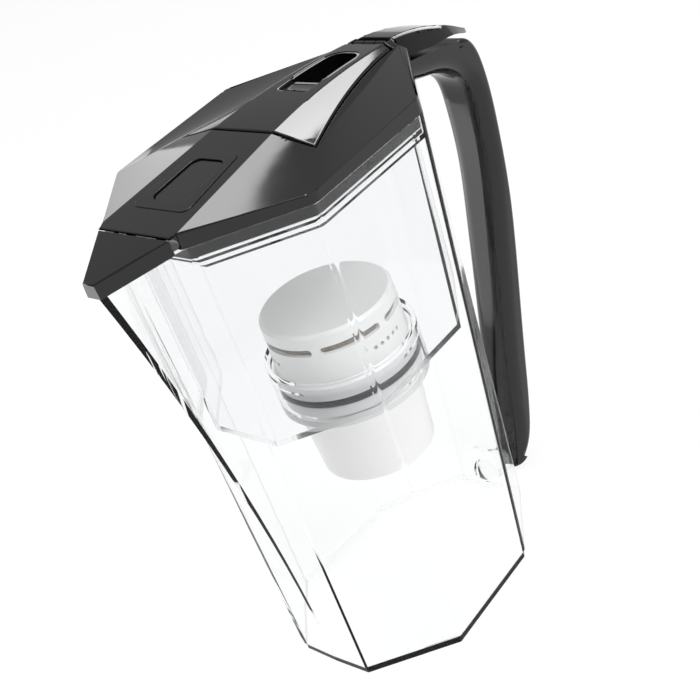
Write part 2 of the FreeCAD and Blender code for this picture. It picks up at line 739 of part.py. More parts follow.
def make_brow():
    """Lip of the lid over the flap's rear edge, hollowed for that edge's swing."""
    tip_half = RIM_FRONT_HALF - FLAP_SIDE_INSET
    plan = trapezium(-BROW_REACH, BROW_REACH + 0.5 * LID_WALL, tip_half, RIM_FRONT_HALF)
    edge_z = spout_z(FLAP_BACK_X) + FLAP_GAP + FLAP_HEIGHT
    sweep = math.hypot(FLAP_AXIS_IN, edge_z - FLAP_AXIS_Z) + EAR_GAP
    room = rod_y(FLAP_AXIS_X, FLAP_AXIS_Z, sweep, -RIM_WIDE_HALF, RIM_WIDE_HALF)
    return cut(on_ridge(prism(plan, -BROW_DEPTH, 0.0)), room)


def make_lid():
    shell = LID_OUTER.cut(LID_INNER)
    opening = hatch_prism(0.0, LID_Z - OVERRUN, LID_TOP_Z)
    bezel = on_ridge(bezel_block(-3 * LID_WALL, 3 * LID_WALL))
    shell = cut(shell, opening, bezel)
    ledge_top = WING_Z - LID_WALL - HATCH_LEDGE_GAP
    ledge = cut(
        hatch_prism(-LID_WALL, ledge_top - HATCH_LEDGE_THICKNESS, ledge_top),
        hatch_prism(HATCH_LEDGE, 0, LID_TOP_Z),
    )
    shelf = cut(prism(section(RIM_Z, 0.5 * LID_WALL), LID_Z, LID_Z + SKIRT_SHELF),
                prism(section(RIM_Z, JUG_WALL + SKIRT_GAP + SKIRT_WALL), LID_Z - OVERRUN,
                      LID_Z + SKIRT_SHELF + OVERRUN))
    skirt = skirt_ring(SKIRT_GAP, SKIRT_WALL, FUNNEL_TOP_Z + SIDE_GAP, LID_Z + SKIRT_SHELF)
    strip_x = RIM_REAR_X - LID_WALL
    web = box(HINGE_X - KNUCKLE_RADIUS, strip_x + 0.5 * LID_WALL, -0.5 * KNUCKLE_MIDDLE, 0.5 * KNUCKLE_MIDDLE,
              ledge_top - HATCH_LEDGE_THICKNESS, HINGE_Z)
    barrel = rod_y(HINGE_X, HINGE_Z, KNUCKLE_RADIUS, -0.5 * KNUCKLE_MIDDLE, 0.5 * KNUCKLE_MIDDLE)
    lugs = []
    for y0, y1 in lug_spans():
        lugs.append(box(FLAP_AXIS_X, RIM_FRONT_X + 0.5 * LID_WALL, y0, y1,
                        FLAP_AXIS_Z - LUG_RADIUS, FLAP_AXIS_Z))
        lugs.append(rod_y(FLAP_AXIS_X, FLAP_AXIS_Z, LUG_RADIUS, y0, y1))
    room = KNUCKLE_RADIUS + KNUCKLE_GAP
    trench = rod_y(HINGE_X, HINGE_Z, room, -KNUCKLE_HALF - KNUCKLE_GAP, KNUCKLE_HALF + KNUCKLE_GAP)
    above = box(HATCH_REAR_X - OVERRUN, HINGE_X + room,
                -KNUCKLE_HALF - KNUCKLE_GAP, KNUCKLE_HALF + KNUCKLE_GAP,
                HINGE_Z - KNUCKLE_ARM - KNUCKLE_GAP, LID_TOP_Z)
    shell = cut(shell, trench, above)
    lid = shell.multiFuse([ledge, shelf, skirt, web, barrel, make_brow()] + lugs)
    tools = [make_nubs(), rod_y(HINGE_X, HINGE_Z, PIN_RADIUS, -KNUCKLE_HALF, KNUCKLE_HALF)]
    for y0, y1 in lug_spans():
        tools.append(rod_y(FLAP_AXIS_X, FLAP_AXIS_Z, PIN_RADIUS, y0 - OVERRUN, y1 + OVERRUN))
    return lid.cut(tools).removeSplitter()


CUP_PLAN = trapezium(CUP_FRONT_X, CUP_LENGTH, CUP_FRONT_HALF, CUP_REAR_HALF)
CUP_RADII = [CUP_FRONT_RADIUS, CUP_REAR_RADIUS, CUP_REAR_RADIUS, CUP_FRONT_RADIUS]


def ridge_z(x):
    t = (x - RIDGE_PEAK_X) / (RIM_REAR_X - RIDGE_PEAK_X)
    return mix(PEAK_Z, REAR_Z, t) + 4 * RIDGE_ARCH * t * (1 - t)


def make_scoop():
    z = ridge_z(CUP_FRONT_X) + SCOOP_RADIUS - SCOOP_DEPTH
    half = CUP_FRONT_HALF - CUP_WALL
    roller = rod_y(CUP_FRONT_X, z, SCOOP_RADIUS, -half, half)
    return roller.common(box(CUP_FRONT_X - SCOOP_RADIUS, CUP_FRONT_X + CUP_WALL + OVERRUN,
                             -half, half, 0, LID_TOP_Z))


def make_hatch():
    shell = LID_OUTER.cut(LID_INNER)
    panel = shell.common(hatch_prism(HATCH_SEAM, LID_Z, LID_TOP_Z))
    pocket = rounded(CUP_PLAN, CUP_RADII, LID_Z - CUP_DEPTH, LID_TOP_Z)
    behind = box(HATCH_REAR_X - HATCH_REAR_SEAM, RIM_REAR_X, -RIM_WIDE_HALF, RIM_WIDE_HALF, 0, LID_TOP_Z)
    panel = cut(panel, pocket, make_scoop(), behind)
    knuckles = []
    for side in (-1, 1):
        inner = 0.5 * KNUCKLE_MIDDLE + KNUCKLE_GAP
        y0, y1 = sorted((side * inner, side * KNUCKLE_HALF))
        knuckles.append(rod_y(HINGE_X, HINGE_Z, KNUCKLE_RADIUS, y0, y1))
        knuckles.append(box(HATCH_REAR_X - KNUCKLE_REACH, HINGE_X, y0, y1, HINGE_Z - KNUCKLE_ARM,
                            HINGE_Z + KNUCKLE_ARM))
    bore = rod_y(HINGE_X, HINGE_Z, PIN_RADIUS + PIN_FIT, -KNUCKLE_HALF - OVERRUN, KNUCKLE_HALF + OVERRUN)
    return panel.multiFuse(knuckles).cut(bore).removeSplitter()


def make_cup():
    floor = ridge_z(CUP_FRONT_X) - CUP_DEPTH
    outer = rounded(CUP_PLAN, CUP_RADII, floor - CUP_WALL, LID_TOP_Z)
    inner_plan = inset_polygon(CUP_PLAN, CUP_WALL)
    inner = rounded(inner_plan, [r - CUP_WALL for r in CUP_RADII], floor, LID_TOP_Z + OVERRUN)
    under = LID_OUTER.copy()
    under.translate(Vector(0, 0, -CUP_SUNK))
    cover = prism(inset_polygon(CUP_PLAN, -CUP_WALL), 0, LID_Z + 0.5 * BAND_HEIGHT)
    return cut(outer.common(under.fuse(cover)), inner, make_scoop())


def make_hatch_pin():
    return rod_y(HINGE_X, HINGE_Z, PIN_RADIUS, -KNUCKLE_HALF, KNUCKLE_HALF)


def flap_wire(back_x, back_half, tip_x, tip_half, grow, low, high):
    """Rear and tip outlines of the flap, with its top lowered and bottom raised."""
    wires = []
    for x, half in ((back_x, back_half), (tip_x, tip_half)):
        foot = spout_z(x) + FLAP_GAP + low
        top = spout_z(x) + FLAP_GAP + FLAP_HEIGHT + high
        corners = [Vector(x, -half - grow, foot), Vector(x, half + grow, foot),
                   Vector(x, half, top), Vector(x, -half, top)]
        wires.append(Part.makePolygon(corners + corners[:1]))
    return wires


def make_flap():
    half = RIM_FRONT_HALF - FLAP_SIDE_INSET
    tip_x = RIM_FRONT_X - PROW_BASE - SPOUT_REACH - FLAP_OVERHANG
    outer = loft(flap_wire(FLAP_BACK_X, half, tip_x, FLAP_TIP_HALF, FLAP_FLARE, 0.0, 0.0))
    inner = loft(flap_wire(FLAP_BACK_X - FLAP_WALL, half - 2 * FLAP_WALL, tip_x + 2 * FLAP_WALL,
                           0.5 * FLAP_TIP_HALF, 0.0, -OVERRUN, -FLAP_WALL))
    flap = outer.cut(inner)
    ears = []
    for y0, y1 in ear_spans():
        ears.append(rod_y(FLAP_AXIS_X, FLAP_AXIS_Z, LUG_RADIUS, y0, y1))
        ears.append(box(FLAP_AXIS_X - LUG_RADIUS, FLAP_AXIS_X + LUG_RADIUS, y0, y1, FLAP_AXIS_Z,
                        spout_z(FLAP_AXIS_X) + FLAP_HEIGHT))
    notches = []
    for y0, y1 in lug_spans():
        notches.append(box(FLAP_AXIS_X - LUG_RADIUS - EAR_GAP, RIM_FRONT_X, y0 - EAR_GAP, y1 + EAR_GAP,
                           LID_Z - FLAP_HEIGHT, FLAP_AXIS_Z + LUG_RADIUS + EAR_GAP))
        notches.append(box(FLAP_AXIS_X, RIM_FRONT_X, y0 - EAR_GAP, y1 + EAR_GAP,
                           FLAP_AXIS_Z, spout_z(FLAP_BACK_X) + FLAP_GAP + FLAP_HEIGHT - FLAP_WALL))
    bores = [rod_y(FLAP_AXIS_X, FLAP_AXIS_Z, PIN_RADIUS + PIN_FIT, y0 - OVERRUN, y1 + OVERRUN)
             for y0, y1 in ear_spans()]
    slope = math.atan2(SPOUT_DROP, SPOUT_REACH)
    heel = cut(
        box(FLAP_AXIS_X, RIM_FRONT_X, -RIM_WIDE_HALF, RIM_WIDE_HALF, LID_Z - FLAP_HEIGHT, FLAP_AXIS_Z),
        rod_y(FLAP_AXIS_X, FLAP_AXIS_Z, FLAP_AXIS_RISE * math.cos(slope) - FLAP_GAP,
              -RIM_WIDE_HALF, RIM_WIDE_HALF),
    )
    return flap.cut(notches + [heel]).multiFuse(ears).cut(bores).removeSplitter()


def make_flap_pins():
    pins = []
    for (y0, y1), (e0, e1) in zip(lug_spans(), ear_spans()):
        pins.append(rod_y(FLAP_AXIS_X, FLAP_AXIS_Z, PIN_RADIUS, min(y0, e0), max(y1, e1)))
    return Part.makeCompound(pins)


# Side view of the handle: distance from the rear wall and height, as shares of its reach and height
HANDLE_BAR = ((0.0, 1.0), (0.165, 0.994), (0.464, 0.978), (0.7, 0.966), (0.846, 0.952))
HANDLE_BACK = ((0.7, 0.966), (0.846, 0.952), (0.92, 0.927), (0.962, 0.893), (0.998, 0.817), (1.0, 0.739),
               (0.989, 0.662), (0.962, 0.584), (0.891, 0.474), (0.803, 0.363), (0.695, 0.225), (0.582, 0.09),
               (0.495, 0.038), (0.385, 0.012))
HANDLE_FOOT = ((0.255, 0.0),)
HANDLE_OUTER = HANDLE_BAR[:-2] + HANDLE_BACK + HANDLE_FOOT
HANDLE_INNER = ((0.255, 0.0), (0.285, 0.03), (0.325, 0.076), (0.38, 0.171), (0.552, 0.401), (0.692, 0.573),
                (0.773, 0.697), (0.779, 0.816), (0.736, 0.871), (0.6, 0.906), (0.42, 0.928), (0.253, 0.9395),
                (0.1, 0.951), (0.0, 0.957))
HANDLE_TOP_Z = RIM_Z - HANDLE_TOP_DROP


def handle_points(shape, inset=0.0):
    points = []
    for along, up in shape:
        z = mix(HANDLE_TIP_Z, HANDLE_TOP_Z, up)
        points.append((wall_x(z) + along * HANDLE_REACH, z))
    if not inset:
        return points
    moved = []
    for i, (x, z) in enumerate(points):
        x0, z0 = points[max(i - 1, 0)]
        x1, z1 = points[min(i + 1, len(points) - 1)]
        length = math.hypot(x1 - x0, z1 - z0)
        moved.append((x + (z1 - z0) / length * inset, z - (x1 - x0) / length * inset))
    return moved


# Lid's tail: distance along it, fall of its top and width, as shares of its length, fall and root width
TAIL_SHAPE = ((0.0, 0.0, 1.0), (0.22, 0.1, 0.97), (0.45, 0.29, 0.86), (0.68, 0.55, 0.68), (0.87, 0.82, 0.4),
              (1.0, 1.0, 0.11))


def tail_foot_z(x):
    """Underside of the tail: a gap above the handle's bar, and on along the bar's last slope."""
    line = handle_points(HANDLE_BAR)
    for (x0, z0), (x1, z1) in zip(line, line[1:]):
        if x <= x1:
            break
    return mix(z0, z1, (x - x0) / (x1 - x0)) + TAIL_GAP


def make_tail():
    """Cap that runs from the lid's rear wall out over the handle's top."""
    drop = REAR_Z - tail_foot_z(RIM_REAR_X + TAIL_LENGTH) - TAIL_TIP_THICKNESS
    wires = []
    for along, fall, width in TAIL_SHAPE:
        x = RIM_REAR_X + along * TAIL_LENGTH
        half_top = max(RIDGE_REAR_HALF * width, 0.6 * TAIL_TIP_HALF)
        half_foot = max(TAIL_FOOT_HALF * width, TAIL_TIP_HALF)
        top, foot = REAR_Z - fall * drop, tail_foot_z(x)
        corners = [Vector(x, -half_foot, foot), Vector(x, half_foot, foot),
                   Vector(x, half_top, top), Vector(x, -half_top, top)]
        wires.append(Part.makePolygon(corners + corners[:1]))
    return Part.makeLoft(wires, True, False)


def spline(points, y):
    curve = Part.BSplineCurve()
    curve.interpolate([Vector(x, y, z) for x, z in points])
    return curve.toShape()


def handle_slab(half, outer):
    inner = handle_points(HANDLE_INNER)
    low, high = outer[-1], outer[0]
    edges = [spline(outer, -half)]
    if math.hypot(low[0] - inner[0][0], low[1] - inner[0][1]) > 1e-6:
        edges.append(Part.makeLine(Vector(low[0], -half, low[1]), Vector(inner[0][0], -half, inner[0][1])))
    edges.append(spline(inner, -half))
    edges.append(Part.makeLine(Vector(inner[-1][0], -half, inner[-1][1]), Vector(high[0], -half, high[1])))
    return Part.Face(Part.Wire(edges)).extrude(Vector(0, 2 * half, 0))


def make_lug():
    """Round moulding on the rear wall that holds the handle's lower end."""
    centre = Vector(wall_x(LUG_BALL_Z) + LUG_BALL_OUT, 0, LUG_BALL_Z)
    ball = Part.makeSphere(LUG_BALL_RADIUS, centre)
    return ball.fuse(Part.makeCylinder(LUG_STUB_RADIUS, LUG_STUB_LENGTH, centre, Vector(1, 0, 0)))


def make_dome():
    """Ball whose inner part swells the rear wall behind the handle's lower end."""
    return Part.makeSphere(DOME_RADIUS, Vector(wall_x(DOME_Z) + DOME_OUT, 0, DOME_Z))


def make_tongue():
    top = HANDLE_TOP_Z - TONGUE_DROP
    return box(wall_x(top) - 0.5 * JUG_WALL, wall_x(top) + TONGUE_LENGTH, -TONGUE_HALF, TONGUE_HALF,
               top - TONGUE_THICKNESS, top)


def taper(half, tip_half):
    """Rear view of the handle, narrowing towards its lower tip."""
    low, high = HANDLE_TIP_Z - OVERRUN, HANDLE_TOP_Z + OVERRUN
    side = [(-half, high), (-tip_half, low), (tip_half, low), (half, high)]
    corners = [Vector(0, y, z) for y, z in side]
    return Part.Face(Part.makePolygon(corners + corners[:1])).extrude(Vector(4 * RIM_REAR_X, 0, 0))


def screw_x():
    return wall_x(HANDLE_TOP_Z - TONGUE_DROP) + SCREW_IN


SCREW_TOP_Z = HANDLE_TOP_Z - TONGUE_DROP
SCREW_LOW_Z = SCREW_TOP_Z - TONGUE_THICKNESS - SCREW_BED - SCREW_HEAD


def screw_rods(radius, low, high):
    rods = []
    for y in (-SCREW_SPREAD, SCREW_SPREAD):
        rods.append(Part.makeCylinder(radius, high - low, Vector(screw_x(), y, low)))
    return rods


def make_screws():
    heads = screw_rods(SCREW_HEAD_RADIUS, SCREW_LOW_Z, SCREW_LOW_Z + SCREW_HEAD)
    shanks = screw_rods(SCREW_SHANK_RADIUS, SCREW_LOW_Z, SCREW_TOP_Z)
    return Part.makeCompound([fuse(head, shank) for head, shank in zip(heads, shanks)])


def strip_zone():
    """Everything outside the line that parts the grip from its back strip."""
    core = handle_points(HANDLE_BACK, STRIP_THICKNESS)
    far = handle_points(HANDLE_BACK, -2 * HANDLE_REACH)
    half = 2 * HANDLE_HALF
    stops = [core[-1], far[-1], (far[-1][0] + 4 * HANDLE_REACH, far[-1][1]),
             (far[-1][0] + 4 * HANDLE_REACH, far[0][1]), far[0], core[0]]
    lines = [Part.makeLine(Vector(a[0], -half, a[1]), Vector(b[0], -half, b[1]))
             for a, b in zip(stops, stops[1:])]
    wire = Part.Wire([spline(core, -half)] + lines)
    return Part.Face(wire).extrude(Vector(0, 2 * half, 0))


def along_edges(shape, line):
    """Edges that run along a side-view line on both sides of the handle."""
    curve = spline(line, 0.0)
    found = []
    for edge in shape.Edges:
        points = edge.discretize(5)
        one_side = all(p.y * points[0].y > 0 for p in points)
        flattened = [Part.Vertex(p.x, 0, p.z) for p in points]
        if one_side and all(v.distToShape(curve)[0] < LINE_TOLERANCE for v in flattened):
            found.append(edge)
    return found


def make_grip():
    slab = handle_slab(HANDLE_HALF, handle_points(HANDLE_OUTER)).common(taper(HANDLE_HALF, HANDLE_TIP_HALF))
    slab = slab.makeFillet(GRIP_EDGE, along_edges(slab, handle_points(HANDLE_INNER)))
    heads = screw_rods(SCREW_HEAD_RADIUS + SCREW_ACCESS, SCREW_LOW_Z - HANDLE_REACH, SCREW_LOW_Z)
    return cut(slab, strip_zone(), make_lug(), make_tongue(), make_screws(), *heads)


def make_back():
    """Back strip of the handle, with its top cap."""
    thin = STRIP_HALF / HANDLE_HALF
    slab = handle_slab(STRIP_HALF, handle_points(HANDLE_OUTER)).common(
        taper(STRIP_HALF, thin * HANDLE_TIP_HALF))
    slab = slab.makeFillet(STRIP_EDGE, along_edges(slab, handle_points(HANDLE_OUTER)))
    return cut(slab.common(strip_zone()), make_lug())


def split_z():
    return handle_points(HANDLE_BACK)[1][1]


def cap_zone():
    return box(RIM_REAR_X, RIM_REAR_X + 2 * HANDLE_REACH, -2 * HANDLE_HALF, 2 * HANDLE_HALF,
               split_z(), 2 * RIM_Z)


def export(name, shape):
    shape.exportStep("parts/" + name + ".step")
    solids = shape.Solids
    print(name, "solids", len(solids), "valid", shape.isValid(), "volume", round(shape.Volume, 1))


os.makedirs("parts", exist_ok=True)
export("jug_body", make_jug())
export("funnel", make_funnel())
export("cartridge_body", make_cart_body())
export("cartridge_grid", make_grid())
export("cartridge_ring", make_ring())
export("cartridge_cap", make_cap())
export("cartridge_screen", make_screen())
export("cartridge_media", make_media())
export("lid_shell", make_lid())
export("lid_nubs", make_nubs())
export("lid_tail", make_tail())
export("hatch_panel", make_hatch())
export("thumb_cup", make_cup())
export("hatch_pin", make_hatch_pin())
export("spout_flap", make_flap())
export("flap_pins", make_flap_pins())
export("indicator_bezel", make_bezel())
export("indicator_button", make_button())
export("indicator_tray", make_tray())
export("handle_grip", make_grip())
BACK = make_back()
export("handle_strip", cut(BACK, cap_zone()))
export("handle_cap", BACK.common(cap_zone()))
export("handle_screws", make_screws())
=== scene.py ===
import json
import math

import bmesh
import bpy
from mathutils import Matrix, Quaternion, Vector

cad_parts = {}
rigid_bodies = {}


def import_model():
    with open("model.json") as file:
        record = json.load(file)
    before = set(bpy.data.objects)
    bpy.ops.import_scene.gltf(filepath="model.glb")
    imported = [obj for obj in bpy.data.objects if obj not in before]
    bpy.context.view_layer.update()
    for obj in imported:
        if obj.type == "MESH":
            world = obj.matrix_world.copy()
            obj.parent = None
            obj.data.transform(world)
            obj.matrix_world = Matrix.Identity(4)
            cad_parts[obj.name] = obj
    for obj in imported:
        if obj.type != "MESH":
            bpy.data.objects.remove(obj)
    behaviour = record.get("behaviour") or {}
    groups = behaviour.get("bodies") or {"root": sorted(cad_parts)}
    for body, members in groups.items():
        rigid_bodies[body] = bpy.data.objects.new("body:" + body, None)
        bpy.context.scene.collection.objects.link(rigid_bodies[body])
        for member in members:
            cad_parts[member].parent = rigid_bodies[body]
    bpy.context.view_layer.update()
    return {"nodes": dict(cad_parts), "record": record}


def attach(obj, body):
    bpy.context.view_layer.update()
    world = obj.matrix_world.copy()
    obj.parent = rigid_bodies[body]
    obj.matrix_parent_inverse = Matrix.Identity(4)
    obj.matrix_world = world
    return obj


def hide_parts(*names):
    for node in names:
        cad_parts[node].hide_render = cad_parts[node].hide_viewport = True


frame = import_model()
MM = 0.001

# Photograph's view: turned, raised and rolled, because the jug tilts to pour
VIEW_AZIMUTH = math.radians(-39.01)
VIEW_ELEVATION = math.radians(30.87)
VIEW_ROLL = math.radians(-20.71)
VIEW_DISTANCE = 637.17 * MM
VIEW_CENTRE = Vector((0.0, 0.0, 130.0)) * MM
VIEW_SHIFT = (16.26 * MM, 18.5 * MM)
SENSOR = 36.0
LENS = 72.0
NEAR_CLIP = 10.0 * MM

# Widths of the edge rounding on the moulded black pieces
EDGE_LID = 0.9 * MM
EDGE_FLAP = 0.7 * MM
EDGE_TAIL = 2.2 * MM
EDGE_SMALL = 0.2 * MM
EDGE_SEGMENTS = 3
EDGE_PROFILE = 0.5

# Edges that are rounded: long and sharp enough, above the rim, and not on an underside
EDGE_LENGTH = 1.5 * MM
EDGE_ANGLE = math.radians(20.0)
UNDERSIDE = -0.3
RIM_TOP = 242.0 * MM
INDICATOR_SPAN = (-45.0 * MM, 8.0 * MM)
INDICATOR_HALF = 18.0 * MM

# Points closer than this are one, and faces flatter than this are merged before the rounding
MERGE = 0.002 * MM
FLAT_ANGLE = math.radians(0.05)

# Noise patterns of the materials: scale per metre and detail
TINT_NOISE = (35.0, 3.0)
SMEAR_NOISE = (90.0, 4.0)
SINK_NOISE = (22.0, 1.0)
FLOW_NOISE = (14.0, 2.0)
SATIN_NOISE = (60.0, 2.0)
GRAIN_NOISE = (2500.0, 2.0)
BRUSH_NOISE = (1.0, 2.0)
BRUSH_STRETCH = (2000.0, 60.0, 2000.0)

# What the patterns span, as shares of a material's own colour or roughness
GLOSS_TINT = 1.35
GLOSS_POLISH = (0.8, 1.3)
CLEAR_POLISH = (0.5, 1.5)
SATIN_TINT = 0.96

# Depths of the fine relief, the steel's roughness, and other fixed looks
SINK_DEPTH = 1.0 * MM
GRAIN_DEPTH = 0.1 * MM
GRANULE_RELIEF = 0.8
GRANULE_ROUGHNESS = 0.7
GLOSS_IOR = 1.5
STEEL = (0.55, 0.55, 0.56)
STEEL_POLISH = (0.2, 0.38)

# Studio: light level, floor, and the places of the lamps and what they aim at
WHITE = (1.0, 1.0, 1.0, 1.0)
WORLD_LIGHT = 0.45
FLOOR_SIZE = 30.0
FLOOR_DROP = 0.3 * MM
FLOOR_COLOUR = (0.9, 0.9, 0.9, 1.0)
FLOOR_ROUGHNESS = 0.6
FLOOR_WHITE = 0.88
LID_CENTRE = Vector((0.0, 0.0, 250.0)) * MM
HANDLE_CENTRE = Vector((140.0, 0.0, 160.0)) * MM
STREAK_DISTANCE = 1.5
KEY_PLACE = Vector((0.1, -1.15, 1.4))
CARD_PLACE = Vector((-0.05, 0.42, 0.11))
GLOSS_SLOTS = ("lid_black", "bezel_black", "button_black", "handle_black")


def new_material(name):
    """New material, its node tree and its shader."""
    material = bpy.data.materials.new(name)
    material.use_nodes = True
    tree = material.node_tree
    return material, tree, tree.nodes["Principled BSDF"]


def add(tree, kind, **values):
    """New node; values name its properties, or its inputs with underscores for spaces."""
    node = tree.nodes.new(kind)
    for name, value in values.items():
        if hasattr(node, name):
            setattr(node, name, value)
        else:
            node.inputs[name.replace("_", " ")].default_value = value
    return node


def noise(tree, pattern, stretch=None):
    """Noise that is fixed to the piece, as a factor."""
    place = add(tree, "ShaderNodeTexCoord").outputs["Object"]
    if stretch:
        mapping = add(tree, "ShaderNodeMapping", Scale=stretch)
        tree.links.new(place, mapping.inputs["Vector"])
        place = mapping.outputs["Vector"]
    scale, detail = pattern
    texture = add(tree, "ShaderNodeTexNoise", Scale=scale, Detail=detail)
    tree.links.new(place, texture.inputs["Vector"])
    return texture.outputs["Fac"]


def vary_colour(tree, shader, factor, first, second):
    """Base colour that drifts between two colours."""
    tone = add(tree, "ShaderNodeMix", data_type="RGBA", A=(*first, 1.0), B=(*second, 1.0))
    tree.links.new(factor, tone.inputs["Factor"])
    tree.links.new(tone.outputs["Result"], shader.inputs["Base Color"])


def vary_polish(tree, shader, factor, smoothest, roughest):
    """Roughness that drifts between two values."""
    polish = add(tree, "ShaderNodeMapRange", To_Min=smoothest, To_Max=roughest)
    tree.links.new(factor, polish.inputs["Value"])
    tree.links.new(polish.outputs["Result"], shader.inputs["Roughness"])


def relieve(tree, shader, height, strength, depth, invert=False):
    """Fine relief of the surface."""
    bump = add(tree, "ShaderNodeBump", Strength=strength, Distance=depth, invert=invert)
    tree.links.new(height, bump.inputs["Height"])
    tree.links.new(bump.outputs["Normal"], shader.inputs["Normal"])


def scaled(values, share):
    return [share * value for value in values]


def gloss_plastic(name, colour, roughness, waviness=0.0):
    """Moulded gloss plastic: faint colour drift, uneven polish and a slight sink of the surface."""
    material, tree, shader = new_material(name)
    vary_colour(tree, shader, noise(tree, TINT_NOISE), colour, scaled(colour, GLOSS_TINT))
    vary_polish(tree, shader, noise(tree, SMEAR_NOISE), *scaled(GLOSS_POLISH, roughness))
    if waviness:
        relieve(tree, shader, noise(tree, SINK_NOISE), waviness, SINK_DEPTH)
    shader.inputs["IOR"].default_value = GLOSS_IOR
    return material


def clear_plastic(name, colour, roughness, bend):
    """Clear moulded plastic with faint flow marks; bend is its refractive index."""
    material, tree, shader = new_material(name)
    shader.inputs["Base Color"].default_value = (*colour, 1.0)
    shader.inputs["Transmission Weight"].default_value = 1.0
    shader.inputs["IOR"].default_value = bend
    vary_polish(tree, shader, noise(tree, FLOW_NOISE), *scaled(CLEAR_POLISH, roughness))
    return material


def satin_plastic(name, colour, roughness, grain):
    """Fine-grained moulded plastic; grain is the strength of its relief."""
    material, tree, shader = new_material(name)
    vary_colour(tree, shader, noise(tree, SATIN_NOISE), scaled(colour, SATIN_TINT), colour)
    relieve(tree, shader, noise(tree, GRAIN_NOISE), grain, GRAIN_DEPTH)
    shader.inputs["Roughness"].default_value = roughness
    return material


def granules(name, dark, light, size):
    """Packed granules, or the cells of a mesh, of a given size."""
    material, tree, shader = new_material(name)
    place = add(tree, "ShaderNodeTexCoord").outputs["Object"]
    cells = add(tree, "ShaderNodeTexVoronoi", Scale=1.0 / size)
    tree.links.new(place, cells.inputs["Vector"])
    vary_colour(tree, shader, cells.outputs["Color"], dark, light)
    relieve(tree, shader, cells.outputs["Distance"], GRANULE_RELIEF, size, invert=True)
    shader.inputs["Roughness"].default_value = GRANULE_ROUGHNESS
    return material


def brushed_steel(name, colour):
    """Steel brushed along the Y axis."""
    material, tree, shader = new_material(name)
    vary_polish(tree, shader, noise(tree, BRUSH_NOISE, BRUSH_STRETCH), *STEEL_POLISH)
    shader.inputs["Metallic"].default_value = 1.0
    shader.inputs["Base Color"].default_value = (*colour, 1.0)
    return material


# Maker, colour and finish of each material slot
LOOKS = {
    "jug_clear": (clear_plastic, (0.985, 0.99, 0.992), 0.01, 1.3),
    "funnel_clear": (clear_plastic, (0.97, 0.975, 0.98), 0.03, 1.13),
    "cartridge_white": (satin_plastic, (0.84, 0.84, 0.83), 0.38, 0.15),
    "ring_rubber": (satin_plastic, (0.018, 0.018, 0.018), 0.5, 0.3),
    "screen_mesh": (granules, (0.16, 0.14, 0.12), (0.42, 0.39, 0.35), 0.5 * MM),
    "filter_media": (granules, (0.05, 0.04, 0.035), (0.3, 0.24, 0.16), 1.1 * MM),
    "lid_black": (gloss_plastic, (0.0028, 0.0028, 0.003), 0.07, 0.02),
    "bezel_black": (gloss_plastic, (0.0028, 0.0028, 0.003), 0.08),
    "button_black": (gloss_plastic, (0.004, 0.004, 0.0042), 0.16),
    "tray_black": (satin_plastic, (0.02, 0.02, 0.02), 0.5, 0.3),
    "handle_black": (gloss_plastic, (0.0028, 0.0028, 0.003), 0.09, 0.02),
    "pin_steel": (brushed_steel, STEEL),
}
MATERIALS = {slot: make(slot, *finish) for slot, (make, *finish) in LOOKS.items()}
BODIES = frame["record"]["behaviour"]["bodies"]
SLOT_OF = {part["node"]: part["material_slot"] for part in frame["record"]["subparts"]}
BODY_OF = {node: body for body, nodes in BODIES.items() for node in nodes}


def paint(piece, slot):
    piece.data.materials.clear()
    piece.data.materials.append(MATERIALS[slot])


def in_indicator(point):
    """Whether a point lies in the indicator's zone on the ridge's front."""
    (x0, x1), half = INDICATOR_SPAN, INDICATOR_HALF
    return x0 < point.x < x1 and abs(point.y) < half


def is_outer_edge(edge, shortest):
    """Whether an edge is convex, sharp, on the outside of a piece and long enough to round."""
    if len(edge.link_faces) != 2 or not edge.is_convex or edge.calc_length() < shortest:
        return False
    middle = 0.5 * (edge.verts[0].co + edge.verts[1].co)
    upward = all(face.normal.z > UNDERSIDE for face in edge.link_faces)
    return upward and middle.z > RIM_TOP and edge.calc_face_angle() > EDGE_ANGLE


def shading_normals(work, cad, strips):
    """Corner normals: the CAD surface's on its own faces, swept across the rounded strips."""
    at_vertex = {}
    for face in work.faces:
        if face not in strips:
            for loop in face.loops:
                at_vertex[loop.vert] = at_vertex.get(loop.vert, Vector()) + loop[cad]
    swept = {}
    for face in strips:
        for loop in face.loops:
            swept[loop.vert] = swept.get(loop.vert, Vector()) + face.normal * face.calc_area()
    result = []
    for face in work.faces:
        for loop in face.loops:
            normal = loop[cad]
            if face in strips:
                normal = at_vertex.get(loop.vert, swept[loop.vert])
            result.append(normal.normalized())
    return result


